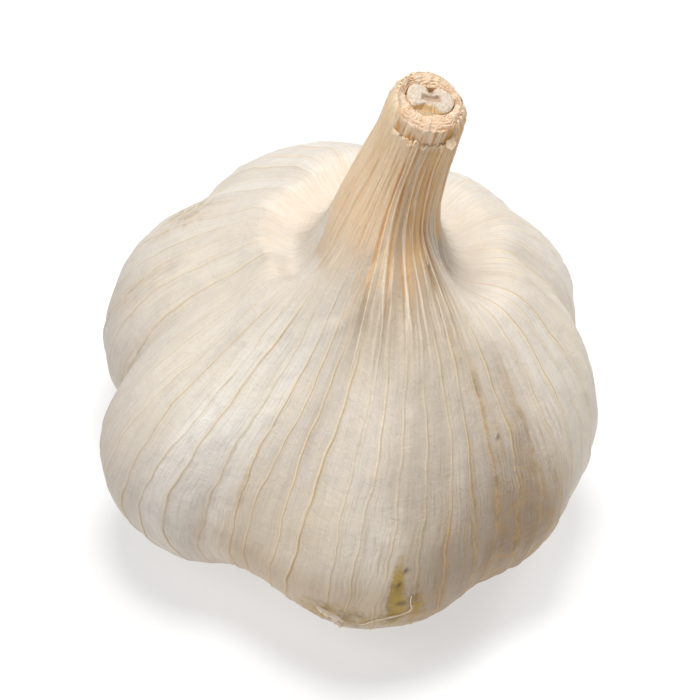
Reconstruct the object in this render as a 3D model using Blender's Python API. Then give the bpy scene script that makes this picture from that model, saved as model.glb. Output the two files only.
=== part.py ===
"""Whole dry garlic bulb, standing on its root plate.

Millimetres throughout, turned into metres where a mesh is made. +Z is up, and
the origin is the middle of the flat spot under the root plate. Directions are
in degrees round the bulb: 0 is +X, 90 is +Y, and 270 faces the front.
"""
import math

import bmesh
import bpy
import numpy as np
from mathutils import Vector

MM = 0.001
GAP = 0.3                   # clearance between neighbouring pieces
MERGE_DISTANCE = 1e-4
ON_AXIS = 1e-3              # smaller radii than this lie on the axis
SHARP_DEG = 50              # edges are shown sharp from this angle

# Lobes: direction, reach from the axis, radius of the rounded end.
LOBES = (
    (280, 31.2, 17.0),
    (322, 30.2, 15.5),
    (346, 29.7, 13.0),
    (30, 29.7, 11.5),
    (61, 30.2, 14.5),
    (109, 34.8, 15.0),
    (144, 33.2, 16.5),
    (204, 31.2, 14.5),
    (240, 27.2, 19.0),
)
LOBE_MEAN = 31.0            # radius that a lobe share of 1 scales from
LOBE_BLEND = 0.7            # how far neighbouring lobes melt together
LOBE_SIDE = -0.2            # cosine past which a lobe no longer shows in a direction

# Outer skin from the root plate up to the torn edge on the neck:
# radius, height, share of the lobes, height of the vein ridges.
SKIN = (
    (9.3, 1.0, 0.0, 0.00),
    (11.5, 0.9, 0.7, 0.12),
    (15.5, 1.5, 1.5, 0.25),
    (22.0, 3.2, 1.7, 0.25),
    (28.2, 8.0, 1.5, 0.28),
    (30.9, 15.6, 1.2, 0.30),
    (29.6, 23.5, 1.3, 0.30),
    (25.2, 31.2, 1.25, 0.28),
    (18.2, 38.8, 1.1, 0.27),
    (11.4, 46.2, 0.4, 0.26),
    (7.6, 50.4, 0.08, 0.26),
    (5.7, 55.2, 0.0, 0.24),
    (4.65, 61.0, 0.0, 0.22),
    (4.4, 68.2, 0.0, 0.16),
)
ROWS_PER_SPAN = 2

# Vein ridges, which gather into the pleats of the neck.
VEINS = 54
PER_VEIN = 3                    # foot, crest and foot of each ridge
COLUMNS = PER_VEIN * VEINS
VEIN_HALF_DEG = (1.15, 2.0)     # half width of a ridge on the bulb and on the neck
VEIN_WAVE_DEG = 0.55            # how far a vein wanders sideways
VEIN_WAVE_LENGTH = 5.5          # height over which it wanders, per radian
PLEATS_START = 44.0
PLEATS_RISE = 12.0
PLEAT_CONTRAST = 0.75           # every second pleat fades this much on the neck
VEIN_SEED = 7

# The shoulder sinks round the foot of the neck, except where the skin fans out in front.
HOLLOW_DEPTH = 6.5
HOLLOW_RADIUS = 10.2
HOLLOW_INNER = 3.6
HOLLOW_OUTER = 4.4
HOLLOW_TOP = 50.0
HOLLOW_BOTTOM = 22.0
HOLLOW_FADE = 10.0
HOLLOW_DIRECTION = 84
HOLLOW_HALF_DEG = 100
HOLLOW_FADE_DEG = 45
HOLLOW_NARROWS = 150.0          # direction from which it narrows toward the front
HOLLOW_NARROWING = 70.0
HOLLOW_PINCH = 1.6
HOLLOW_FRONT = 290.0
RIM_HEIGHT = 0.45               # raised lip of the hollow, at the back left
RIM_RADIUS = 15.4
RIM_OUTER = 3.4
RIM_INNER = 0.8
RIM_DIRECTION = 132
RIM_HALF_DEG = 26
RIM_FADE_DEG = 30

# On the right the neck drops straight into the hollow instead of flaring.
WAIST = 0.3                     # share of the radius lost
WAIST_HEIGHT = 50.0
WAIST_WIDTH = 6.5
WAIST_DIRECTION = -8
WAIST_HALF_DEG = 28
WAIST_FADE_DEG = 70

# The neck stands off centre and leans over.
NECK_OFFSET = 5.0
NECK_OFFSET_START = 12.0
NECK_OFFSET_RISE = 36.0
BEND_START = 44.0
BEND_LENGTH = 16.0
LEAN_DEG = 14.0
LEAN_DIRECTION = -20.0

# The outer skin ends in a torn edge, lowest in front.
SKIN_TOP = SKIN[-1][1]
TEAR_FOOT = 60.0
TEAR_DEPTH = 2.2
TEAR_DIRECTION = 262
TEAR_HALF_DEG = 42
TEAR_FADE_DEG = 22
TEAR_JAG = 0.18
TEAR_TEETH = ((7, 0.0), (12, 1.0))      # teeth round the edge and their phase
TEAR_RIM_DROP = 0.15
PEAK = 0.55                     # how much higher the cut neck stands at the back left
PEAK_DIRECTION = 118
PEAK_HALF_DEG = 20
PEAK_FADE_DEG = 60

# Socket in the neck for the inner sheaths, and recess for the root plate.
SHEATH_RADIUS = 3.7
SOCKET_RADIUS = SHEATH_RADIUS + GAP
SOCKET_FLOOR = 56.0
PLATE_RADIUS = 8.4
PLATE_TOP = 3.0
PLATE_UNDERSIDE = 1.5
RECESS_RADIUS = PLATE_RADIUS + 0.5
RECESS_ROOF = PLATE_TOP + GAP

# Cut top of the neck: dry sheaths round a folded white leaf.
CUT_HEIGHT = 68.6
CORE_HALF_WIDTH = 2.65
CORE_HALF_DEPTH = 1.7
CORE_LOBES = (                  # direction, swell as a share of the radius, half width in degrees
    (140, 0.24, 24), (316, 0.15, 22), (38, 0.06, 18), (205, 0.06, 16),
)
CORE_NOTCH = 0.36               # share of the radius lost in the fold at the back
CORE_NOTCH_HALF_DEG = 24
CORE_FOOT = 60.6
CORE_CLEARANCE = 0.42
BORE_SPARE = 0.6                # room in front of the folded leaf
BORE_SPARE_DIRECTION = 255
BORE_SPARE_HALF_DEG = 38
BORE_FLOOR = CORE_FOOT - GAP
SHEATH_STEPS = 72
SHEATH_SIDE = (60.0, 64.0)      # heights of the rings up its side
SHEATH_SHOULDER = 0.6
SHEATH_THINNING = 0.08
SHEATH_CUT = (                  # from the outside to the pocket: share, height from the cut
    (1.93, -0.1), (1.72, 0.1), (1.58, -0.35), (1.46, 0.05), (1.2, 0.1), (1.0, -0.3),
)
FLUTES = 18
FLUTE_DEPTH = 0.08
FLUTED_SHARE = 1.95
FLUTED_FROM = 60.5
CUT_WAVES = ((0.16, 5, 0.6), (0.10, 11, 0.0))       # height, number round, phase
CUT_WAVE_DEPTH = 1.0
POCKET_RING = 64.0
CORE_STEPS = 48
CORE_RING = 64.5
CORE_CUT = (                    # from the outline to the fold: share, height from the cut
    (1.0, -0.35), (0.93, 0.05), (0.75, 0.2), (0.5, -0.1), (0.3, -0.7), (0.0, -0.9),
)

# Root plate: a flat spot in the middle and trimmed roots round it.
FOOT_RADIUS = 4.4
FOOT_SLOPE = 0.4
PLATE_EDGE = 0.3
PLATE_EDGE_RISE = 0.4
PLATE_TOP_EDGE = 0.2
ROOT_RINGS = ((5.45, 12), (6.55, 16), (7.55, 19))   # radius and number of roots
ROOT_RADIUS = 0.4
ROOT_TAPER = 0.75
ROOT_SINK = 0.6
ROOT_TIP_HEIGHT = (0.0, 0.35)
ROOT_SPLAY = 0.45
ROOT_SIDES = 5
ROOT_JITTER = 0.2               # share of the spacing by which a root is out of place
ROOT_SEED = 12
PLATE_STEPS = 40

# colour, roughness and metallic value of each piece
FINISHES = {
    "bulb_wrapper": ((0.80, 0.73, 0.62), 0.55, 0.0),
    "neck_sheaths": ((0.74, 0.56, 0.36), 0.75, 0.0),
    "neck_core": ((0.82, 0.76, 0.66), 0.70, 0.0),
    "root_plate": ((0.50, 0.38, 0.24), 0.85, 0.0),
}


def smooth_step(t):
    t = np.clip(t, 0.0, 1.0)
    return t * t * (3.0 - 2.0 * t)


def degrees_between(direction, middle):
    """Signed angle in degrees from the middle to the direction, within half a turn."""
    return (direction - middle + 180.0) % 360.0 - 180.0


def window(direction, middle, half, fade):
    """1 within half degrees of the middle, fading smoothly to 0 over the next fade degrees."""
    beyond = (np.abs(degrees_between(direction, middle)) - half) / fade
    return 1.0 - smooth_step(beyond)


def bump(value, middle, width):
    return np.exp(-((value - middle) / width) ** 2)


def lobe_scale(direction):
    """Radius of the lobed outline against LOBE_MEAN: a soft union of circles."""
    reaches = []
    for middle, reach, end in LOBES:
        turn = math.radians(degrees_between(direction, middle))
        centre = reach - end
        inside = end ** 2 - (centre * math.sin(turn)) ** 2
        seen = inside > 0.0 and math.cos(turn) > LOBE_SIDE
        reaches.append(centre * math.cos(turn) + math.sqrt(inside) if seen else 0.0)
    largest = max(reaches)
    blended = sum(math.exp((reach - largest) / LOBE_BLEND) for reach in reaches)
    return (largest + LOBE_BLEND * math.log(blended)) / LOBE_MEAN


def smooth_rows(points, per_span):
    """Rows of a Catmull-Rom curve through the points, columns blended alike."""
    points = np.array(points, dtype=float)
    padded = np.vstack((2 * points[0] - points[1], points, 2 * points[-1] - points[-2]))
    tangents = (padded[2:] - padded[:-2]) / 2.0
    rows = []
    for i in range(len(points) - 1):
        for t in np.arange(per_span) / per_span:
            rows.append(
                points[i] * (2 * t ** 3 - 3 * t ** 2 + 1)
                + tangents[i] * (t ** 3 - 2 * t ** 2 + t)
                + points[i + 1] * (3 * t ** 2 - 2 * t ** 3)
                + tangents[i + 1] * (t ** 3 - t ** 2)
            )
    rows.append(points[-1])
    return rows


def turned(rows, steps, layer_names=()):
    """Body turned about Z from rows of radius, height and one value for each layer.

    The first and last rows lie on the axis. The values ride on float layers.
    """
    body = bmesh.new()
    layers = [body.verts.layers.float.new(layer) for layer in layer_names]
    verts = []
    for row in rows:
        vert = body.verts.new((row[0], 0.0, row[1]))
        for layer, value in zip(layers, row[2:]):
            vert[layer] = value
        verts.append(vert)
    edges = [body.edges.new(pair) for pair in zip(verts, verts[1:])]
    bmesh.ops.spin(
        body, geom=verts + edges, cent=(0, 0, 0), axis=(0, 0, 1),
        angle=2 * math.pi, steps=steps, use_merge=True, use_duplicate=False,
    )
    bmesh.ops.remove_doubles(body, verts=body.verts, dist=MERGE_DISTANCE)
    bmesh.ops.recalc_face_normals(body, faces=body.faces)
    return body


def shoulder_height(direction, radius, height):
    """How far the hollow and its lip move a point of the skin up or down."""
    along = direction % 360.0
    pinch = HOLLOW_PINCH * float(smooth_step((along - HOLLOW_NARROWS) / HOLLOW_NARROWING))
    outer = HOLLOW_OUTER - (pinch if along < HOLLOW_FRONT else 0.0)
    side = outer if radius > HOLLOW_RADIUS else HOLLOW_INNER
    lip_side = RIM_OUTER if radius > RIM_RADIUS else RIM_INNER
    below_neck = 1.0 - smooth_step((height - HOLLOW_TOP) / HOLLOW_FADE)
    above_waist = smooth_step((height - HOLLOW_BOTTOM) / HOLLOW_FADE)
    sunk = window(direction, HOLLOW_DIRECTION, HOLLOW_HALF_DEG, HOLLOW_FADE_DEG)
    lip = window(direction, RIM_DIRECTION, RIM_HALF_DEG, RIM_FADE_DEG)
    change = RIM_HEIGHT * lip * bump(radius, RIM_RADIUS, lip_side)
    change -= HOLLOW_DEPTH * sunk * bump(radius, HOLLOW_RADIUS, side)
    return change * below_neck * above_waist


def waist_scale(direction, height):
    """Share of the flare's radius that is left where the neck drops straight down."""
    side = window(direction, WAIST_DIRECTION, WAIST_HALF_DEG, WAIST_FADE_DEG)
    return 1.0 - WAIST * side * bump(height, WAIST_HEIGHT, WAIST_WIDTH)


def peak_height(direction):
    return PEAK * window(direction, PEAK_DIRECTION, PEAK_HALF_DEG, PEAK_FADE_DEG)


def torn_height(direction, height):
    """Height of a point on the neck once the skin's top edge is torn down in front."""
    tear = TEAR_DEPTH * window(direction, TEAR_DIRECTION, TEAR_HALF_DEG, TEAR_FADE_DEG)
    turn = math.radians(direction)
    jag = TEAR_JAG * sum(math.sin(teeth * turn + phase) for teeth, phase in TEAR_TEETH)
    share = smooth_step((height - TEAR_FOOT) / (SKIN_TOP - TEAR_FOOT))
    return height - share * (tear + jag - peak_height(direction))


def set_on_neck(x, y, z):
    """Shift a point of the upright bulb off centre with height, then lean the neck over."""
    x += NECK_OFFSET * float(smooth_step((z - NECK_OFFSET_START) / NECK_OFFSET_RISE))
    if z <= BEND_START:
        return x, y, z
    lean = math.radians(LEAN_DIRECTION)
    along = (x - NECK_OFFSET) * math.cos(lean) + y * math.sin(lean)
    rate = math.radians(LEAN_DEG) / BEND_LENGTH
    turned_by = rate * min(z - BEND_START, BEND_LENGTH)
    straight = max(z - BEND_START - BEND_LENGTH, 0.0)
    forward = (1 - math.cos(turned_by)) / rate + straight * math.sin(turned_by)
    rise = math.sin(turned_by) / rate + straight * math.cos(turned_by)
    shift = forward + along * (math.cos(turned_by) - 1)
    return (
        x + shift * math.cos(lean),
        y + shift * math.sin(lean),
        BEND_START + rise - along * math.sin(turned_by),
    )


def make_object(name, body, collection, material):
    """Mesh object in metres from a bmesh in millimetres."""
    bmesh.ops.triangulate(body, faces=body.faces)
    bmesh.ops.scale(body, vec=Vector((MM, MM, MM)), verts=body.verts)
    mesh = bpy.data.meshes.new(name)
    body.to_mesh(mesh)
    body.free()
    for layer in list(mesh.attributes):
        if not layer.is_required and not layer.is_internal:
            mesh.attributes.remove(layer)
    mesh.shade_smooth()
    mesh.set_sharp_from_angle(angle=math.radians(SHARP_DEG))
    piece = bpy.data.objects.new(name, mesh)
    collection.objects.link(piece)
    mesh.materials.append(material)
    return piece


def finish(name):
    colour, roughness, metallic = FINISHES[name]
    material = bpy.data.materials.new(name)
    material.use_nodes = True
    shader = material.node_tree.nodes["Principled BSDF"]
    shader.inputs["Base Color"].default_value = (*colour, 1.0)
    shader.inputs["Roughness"].default_value = roughness
    shader.inputs["Metallic"].default_value = metallic
    return material


def wrapper_rows():
    """Radius, height, lobe share and ridge height of each ring of the wrapper."""
    recess = [(0.0, RECESS_ROOF, 0.0, 0.0), (RECESS_RADIUS, RECESS_ROOF, 0.0, 0.0)]
    skin = smooth_rows(SKIN, ROWS_PER_SPAN)
    socket = [
        (SOCKET_RADIUS, SKIN_TOP - TEAR_RIM_DROP, 0.0, 0.0),
        (SOCKET_RADIUS, TEAR_FOOT, 0.0, 0.0),
        (SOCKET_RADIUS, SOCKET_FLOOR, 0.0, 0.0),
        (0.0, SOCKET_FLOOR, 0.0, 0.0),
    ]
    return recess + skin + socket


def make_wrapper(collection):
    """Papery outer skin over the lobes, drawn up into the neck."""
    body = turned(wrapper_rows(), COLUMNS, ("share", "ridge"))
    share_layer = body.verts.layers.float["share"]
    ridge_layer = body.verts.layers.float["ridge"]
    phases = np.random.default_rng(VEIN_SEED).uniform(0, 2 * math.pi, VEINS)
    for vert in body.verts:
        x, y, height = vert.co
        radius = math.hypot(x, y)
        column = round(math.atan2(y, x) / (2 * math.pi) * COLUMNS) % COLUMNS
        vein, place = divmod(column, PER_VEIN)
        on_neck = float(smooth_step((height - PLEATS_START) / PLEATS_RISE))
        half = VEIN_HALF_DEG[0] + (VEIN_HALF_DEG[1] - VEIN_HALF_DEG[0]) * on_neck
        wander = VEIN_WAVE_DEG * math.sin(height / VEIN_WAVE_LENGTH + phases[vein])
        direction = (vein + 0.5) * 360.0 / VEINS + (place - 1) * half + wander * (1 - on_neck)
        share = vert[share_layer]
        ridge = vert[ridge_layer]
        if radius > ON_AXIS:
            fade = PLEAT_CONTRAST * on_neck * (vein % 2)
            lift = ridge * (1 - fade) if place == 1 else 0.0
            if ridge:
                waist = float(waist_scale(direction, height))
                height += float(shoulder_height(direction, radius, height))
                radius *= waist * (1 + share * (lobe_scale(direction) - 1))
            height = float(torn_height(direction, height))
            radius += lift
        turn = math.radians(direction)
        vert.co = set_on_neck(radius * math.cos(turn), radius * math.sin(turn), height)
    return make_object("bulb_wrapper", body, collection, finish("bulb_wrapper"))


def core_outline(direction, clearance=0.0):
    """Outline of the folded leaf before its notch: an oval that swells at its lobes."""
    turn = math.radians(direction)
    oval = 1 / math.hypot(
        math.cos(turn) / (CORE_HALF_WIDTH + clearance),
        math.sin(turn) / (CORE_HALF_DEPTH + clearance),
    )
    swell = sum(share * bump(degrees_between(direction, middle), 0, half) for middle, share, half in CORE_LOBES)
    return oval * (1 + float(swell))


def core_radius(direction):
    notch = CORE_NOTCH * bump(degrees_between(direction, 90), 0, CORE_NOTCH_HALF_DEG)
    return core_outline(direction) * (1 - notch)


def bore_radius(direction):
    spare = bump(degrees_between(direction, BORE_SPARE_DIRECTION), 0, BORE_SPARE_HALF_DEG)
    return core_outline(direction, CORE_CLEARANCE) + BORE_SPARE * float(spare)


def make_sheaths(collection):
    """Dry inner sheaths of the neck, cut across, with a pocket for the folded leaf.

    Row radii run 0 at the axis, 1 at the pocket's wall and 2 at the outside.
    """
    foot = SOCKET_FLOOR + GAP
    side = [(2.0, height) for height in (foot, *SHEATH_SIDE, CUT_HEIGHT - SHEATH_SHOULDER)]
    cut = [(share, CUT_HEIGHT + rise) for share, rise in SHEATH_CUT]
    pocket = [(1.0, POCKET_RING), (1.0, BORE_FLOOR), (0.0, BORE_FLOOR)]
    body = turned([(0.0, foot)] + side + cut + pocket, SHEATH_STEPS)
    for vert in body.verts:
        x, y, height = vert.co
        row = math.hypot(x, y)
        turn = math.atan2(y, x)
        bore = bore_radius(math.degrees(turn))
        fluted = row > FLUTED_SHARE and height > FLUTED_FROM
        fluting = FLUTE_DEPTH * math.sin(FLUTES * turn) if fluted else 0.0
        outside = SHEATH_RADIUS - SHEATH_THINNING + fluting
        radius = bore * row if row <= 1 else bore + (outside - bore) * (row - 1)
        if height > CUT_HEIGHT - CUT_WAVE_DEPTH:
            height += sum(rise * math.sin(count * turn + phase) for rise, count, phase in CUT_WAVES)
            height += max(row - 1, 0.0) * float(peak_height(math.degrees(turn)))
        vert.co = set_on_neck(radius * math.cos(turn), radius * math.sin(turn), height)
    return make_object("neck_sheaths", body, collection, finish("neck_sheaths"))


def make_core(collection):
    """Folded white leaf in the middle of the neck. Row radii are shares of its outline."""
    side = [(0.0, CORE_FOOT), (1.0, CORE_FOOT), (1.0, CORE_RING)]
    cut = [(share, CUT_HEIGHT + rise) for share, rise in CORE_CUT]
    body = turned(side + cut, CORE_STEPS)
    for vert in body.verts:
        x, y, height = vert.co
        direction = math.degrees(math.atan2(y, x))
        turn = math.radians(direction)
        radius = math.hypot(x, y) * float(core_radius(direction))
        vert.co = set_on_neck(radius * math.cos(turn), radius * math.sin(turn), height)
    return make_object("neck_core", body, collection, finish("neck_core"))


def root_stub(direction, ring, tip_height):
    """Short trimmed root from inside the plate down and outward to its cut tip."""
    turn = math.radians(direction)
    outward = Vector((math.cos(turn), math.sin(turn), 0.0))
    top = outward * ring + Vector((0, 0, PLATE_UNDERSIDE + ROOT_SINK))
    tip = outward * (ring + ROOT_SPLAY) + Vector((0, 0, tip_height))
    body = bmesh.new()
    made = bmesh.ops.create_cone(
        body, cap_ends=True, segments=ROOT_SIDES,
        radius1=ROOT_RADIUS * ROOT_TAPER, radius2=ROOT_RADIUS, depth=1.0,
    )
    for vert in made["verts"]:
        centre = tip.lerp(top, vert.co.z + 0.5)
        vert.co = centre + Vector((vert.co.x, vert.co.y, 0.0))
    return body


def make_root_plate(collection):
    """Woody plate that the roots grew from, with a flat spot and the trimmed roots."""
    rows = (
        (0.0, 0.0), (FOOT_RADIUS, 0.0), (FOOT_RADIUS + FOOT_SLOPE, PLATE_UNDERSIDE),
        (PLATE_RADIUS - PLATE_EDGE, PLATE_UNDERSIDE), (PLATE_RADIUS, PLATE_UNDERSIDE + PLATE_EDGE_RISE),
        (PLATE_RADIUS - PLATE_TOP_EDGE, PLATE_TOP), (0.0, PLATE_TOP),
    )
    body = turned(rows, PLATE_STEPS)
    material = finish("root_plate")
    plate = make_object("root_plate", body, collection, material)
    stubs = bpy.data.collections.new("root_stubs")
    bpy.context.scene.collection.children.link(stubs)
    draw = np.random.default_rng(ROOT_SEED)
    for ring, count in ROOT_RINGS:
        for i in range(count):
            direction = (i + draw.uniform(-ROOT_JITTER, ROOT_JITTER)) * 360.0 / count
            tip = draw.uniform(*ROOT_TIP_HEIGHT)
            make_object("root_stub", root_stub(direction, ring, tip), stubs, material)
    union = plate.modifiers.new("roots", "BOOLEAN")
    union.operation = "UNION"
    union.operand_type = "COLLECTION"
    union.collection = stubs
    graph = bpy.context.evaluated_depsgraph_get()
    plate.data = bpy.data.meshes.new_from_object(plate.evaluated_get(graph))
    plate.modifiers.clear()
    for stub in list(stubs.objects):
        bpy.data.objects.remove(stub, do_unlink=True)
    bpy.data.collections.remove(stubs)
    return plate


def main():
    for old in list(bpy.data.objects):
        bpy.data.objects.remove(old, do_unlink=True)
    bulb = bpy.data.collections.new("garlic_bulb")
    bpy.context.scene.collection.children.link(bulb)
    make_wrapper(bulb)
    make_sheaths(bulb)
    make_core(bulb)
    make_root_plate(bulb)


main()
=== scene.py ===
"""Looks of a whole dry garlic bulb, dressed over the solids of its frame.

Shapes are worked out in millimetres and turned into metres where a mesh is
made. +Z is up, the front is -Y, and directions are in degrees round the bulb
from +X. The skin is addressed by u, in veins round the bulb, and s, in spans
of its profile from the root plate up to the torn edge on the neck.

A place is a direction, a half width and a fade, in degrees. A slope is where a
value starts to count and the length over which it comes in, which is negative
where it counts below the start. A ripple is a size, a wavelength, a seed and a
number of waves.
"""
import math

import bmesh
import bpy
import numpy as np
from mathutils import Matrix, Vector


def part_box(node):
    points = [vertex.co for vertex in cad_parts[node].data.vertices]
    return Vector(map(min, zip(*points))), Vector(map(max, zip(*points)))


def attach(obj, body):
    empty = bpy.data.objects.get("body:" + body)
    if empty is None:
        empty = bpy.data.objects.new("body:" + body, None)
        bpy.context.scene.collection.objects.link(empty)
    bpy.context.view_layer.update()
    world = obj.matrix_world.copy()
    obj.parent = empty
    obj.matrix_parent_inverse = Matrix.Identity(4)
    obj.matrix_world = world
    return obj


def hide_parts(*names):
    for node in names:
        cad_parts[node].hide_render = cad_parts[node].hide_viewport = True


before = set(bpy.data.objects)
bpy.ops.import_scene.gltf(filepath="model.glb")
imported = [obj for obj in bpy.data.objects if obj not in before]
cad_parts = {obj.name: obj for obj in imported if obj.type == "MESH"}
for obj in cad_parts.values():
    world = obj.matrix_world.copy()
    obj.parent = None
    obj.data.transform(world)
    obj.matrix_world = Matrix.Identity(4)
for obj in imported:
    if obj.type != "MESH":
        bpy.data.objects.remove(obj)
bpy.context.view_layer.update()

MM = 0.001
BODY = "root"

# --- shape values

# Lobes: direction, reach from the axis, radius of the rounded end.
LOBES = (
    (280, 31.2, 17),
    (322, 30.2, 15.5),
    (346, 29.7, 13),
    (30, 29.7, 11.5),
    (61, 30.2, 14.5),
    (109, 34.8, 15),
    (144, 33.2, 16.5),
    (204, 31.2, 14.5),
    (240, 27.2, 19),
)
LOBE_MEAN = 31.0
LOBE_BLEND = 0.7

# Outer skin: radius, height, share of the lobes.
SKIN = (
    (9.3, 1.0, 0.0),
    (11.5, 0.9, 0.7),
    (15.5, 1.5, 1.5),
    (22.0, 3.2, 1.7),
    (28.2, 8.0, 1.5),
    (30.9, 15.6, 1.2),
    (29.6, 23.5, 1.3),
    (25.2, 31.2, 1.25),
    (18.2, 38.8, 1.1),
    (11.4, 46.2, 0.4),
    (7.6, 50.4, 0.08),
    (5.7, 55.2, 0.0),
    (4.65, 61.0, 0.0),
    (4.4, 68.2, 0.0),
)
SKIN_SPANS = len(SKIN) - 1
SKIN_TOP_RADIUS, SKIN_TOP = SKIN[-1][:2]
ROW_LENGTH = 0.64  # along the profile, between rings of the fine mesh

VEINS = 54
PER_VEIN = 12  # columns from one vein to the next
COLUMNS = VEINS * PER_VEIN
COLUMN_CROWDING = 1.5  # how much closer the columns stand at a vein
VEIN_TURN = 6.1

# How far the veins wander, in veins, and the height it takes, for each of their waves.
VEIN_WANDER = ((0.12, 8.0), (0.07, 3.2), (0.036, 1.15), (0.018, 0.5))
WANDER_END = (40.0, 10.0)  # slope of the height on which they stop wandering

# Relief of the skin, outward.
VEIN_HEIGHT = 0.14
VEIN_WIDTH = 0.13
PLEAT_HEIGHT = 0.05  # of a vein once it runs up the neck
PANEL_SAG = 0.11
PANEL_WAVE = 6.0
SKIN_STRETCH = (1.0, 1.0, 0.28)
SKIN_WAVES = ((0.17, 9.0, 4, 12), (0.045, 2.2, 5, 12))
NECK_FIBRES = ((0.035, 0.9, 6, 20), (0.03, 0.45, 8, 24))

# The shoulder sinks round the foot of the neck, except where the skin fans out in front.
HOLLOW_DEPTH = 6.5
HOLLOW_RADIUS = 10.2
HOLLOW_INNER = 3.6
HOLLOW_OUTER = 4.4
HOLLOW_PLACE = (84, 100, 45)
HOLLOW_ENDS = (50.0, 10.0)  # slope of the height on which it ends below the neck
HOLLOW_STARTS = (22.0, 10.0)  # and on which it starts above the widest part
HOLLOW_NARROWS = (150.0, 70.0)  # slope of the direction on which it narrows to a crease
HOLLOW_PINCH = 1.6
HOLLOW_FRONT = 290.0
RIM_HEIGHT = 0.45
RIM_RADIUS = 15.4
RIM_OUTER = 3.4
RIM_INNER = 0.8
RIM_PLACE = (132, 26, 30)
WAIST = 0.3
WAIST_HEIGHT = 50.0
WAIST_WIDTH = 6.5
WAIST_PLACE = (-8, 28, 70)

# The neck stands off centre and leans over.
NECK_OFFSET = 5.0
NECK_OFFSET_RISE = (12.0, 36.0)
BEND_START = 44.0
BEND_LENGTH = 16.0
LEAN_DEG = 14.0
LEAN_DIRECTION = -20.0

# Tan skin of the neck: profile radius of its foot, and how much further out it reaches in places.
NECK_FOOT = 8.0
FOOT_BACK = (72, 58, 32)
FOOT_REACH = ((1.8, FOOT_BACK), (1.3, (200, 13, 14)), (5.4, (262, 21, 42)))
FOOT_CHANGE = ((4.0, FOOT_BACK), (6.0, (275, 34, 26)))
SHOULDER = (36.0, 4.0)  # slope of the height above which the skin is on the shoulder

# Torn edge of the outer skin on the neck.
TEAR_FOOT = 60.0
TEAR_DEPTH = 2.2
TEAR_PLACE = (262, 42, 22)
TEAR_JAGS = ((0.13, 2.4, 31, 12), (0.16, 0.7, 32, 16))
UNTORN_JAGS = 0.35  # share of the jags left where the edge isn't torn
EDGE_DROP = 0.12
CURL_PLACE = (268, 42, 12)
PEAK = (118, 20, 60)  # where the cut stands highest
PEAK_HEIGHT = 0.55

# Deep folds of the neck: how many, and how deep and wide they are.
FOLDS = 46
FOLD_DEPTH = (0.08, 0.34)
FOLD_HALF_DEG = (1.1, 2.7)
FOLD_START = (42.0, 48.0)
LIP_SHARE = 0.5  # height of the lip beside a fold against the fold's depth
FRONT = (280, 36, 16)  # where the skin fans out in front
FRONT_DROP = 6.0  # how much lower the folds start there
LONG_FOLD = (11.4, 2.2, 1.8)  # fold left of the neck's foot: radius, half length, fade
SLIT_DIRECTION = 297.5
SLIT = (11.1, 0.7, 0.9)  # open slit right of it: radius, half length, fade

# Patches of the skin's colour, many of them painted light and shade: strength, place, then a slope or, for a
# band, its middle, half and fade.
# The hollow's and the left foot's are bands of the radius, all the others go by the height.
ALL_ROUND = (0, 180, 1)
BEHIND = (130, 60, 60)
# Mostly painted light and shade, partly the panels' own tone: a lighter streak at the front left and the
# right lighter above mid height; darker beside the streak, low at the front right, low at the left and round
# the bottom.
TONE_AND_SHADE_SLOPES = (
    (0.42, (226, 7, 9), (44, -6)),
    (0.14, (336, 15, 14), (20, 12)),
    (-0.16, (244, 3, 8), (40, -8)),
    (-0.24, (296, 16, 16), (42, -16)),
    (-0.24, (306, 20, 14), (30, -12)),
    (-0.14, (200, 20, 20), (26, -12)),
    (-0.2, ALL_ROUND, (14, -11)),
)
# Narrow bands on the front lobes, the same mix of painted light and shade and the panels' own tone.
TONE_AND_SHADE_BANDS = (
    (0.4, (275, 2.2, 3), (22, 4, 6)),
    (-0.3, (252, 2.5, 5), (36, 5, 6)),
    (-0.18, (281, 6, 5), (34, 4, 6)),
)
# Painted light that lifts the shade on the shoulder left of the neck's foot.
LEFT_FOOT_PAINTED_LIGHT = (0.55, (197, 14, 12), (9.0, 1.4, 2.2))
# Painted shade on the shoulder further left of the neck's foot.
LEFT_FOOT_PAINTED_SHADE = (0.6, (170, 12, 14), (13.0, 2.2, 2.4))
# The hollow's own fibrous skin in the first two rows; the last two are painted light that warms the shade at
# the neck's front right and left feet.
HOLLOW_BANDS = (
    (1, (108, 36, 24), (8, 6.4, 1.4)),
    (0.5, (60, 60, 25), (8, 4, 5)),
    (0.7, (326, 20, 18), (8.5, 2.5, 4)),
    (0.5, (198, 20, 14), (9.4, 1.5, 2.4)),
)
# Painted shade, brownish: at the front right, faint below the neck and strong low down; low at the front and
# front left; round the bottom.
RIGHT_PAINTED_BROWN_SHADE = ((0.08, (302, 18, 16), (46, -6)), (0.62, (302, 18, 16), (31, -15)))
PAINTED_BROWN_SHADE = ((0.7, (270, 30, 20), (24, -8)), (0.4, (248, 10, 12), (33, -12)), (0.55, ALL_ROUND, (12, -9)))
# Painted shade, grey: low at the left, at the front right below the neck, round the bottom, and on the right
# above mid height.
PAINTED_GREY_SHADE = (
    (1, (192, 34, 16), (32, -13)),
    (0.8, (300, 12, 12), (43, -6)),
    (0.8, ALL_ROUND, (10, -7)),
    (0.35, (338, 16, 12), (16, 8)),
)
# Where the fibres show darker and dark grains gather: low at the front right and round the bottom.
LOW_DARKENING = ((1.0, (300, 22, 20), (40, -16)), (0.6, ALL_ROUND, (14, -10)))
BROWN_WASH = ((0.30, (305, 24, 14), (17, -12)), (0.34, ALL_ROUND, (9, -7)))

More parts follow.
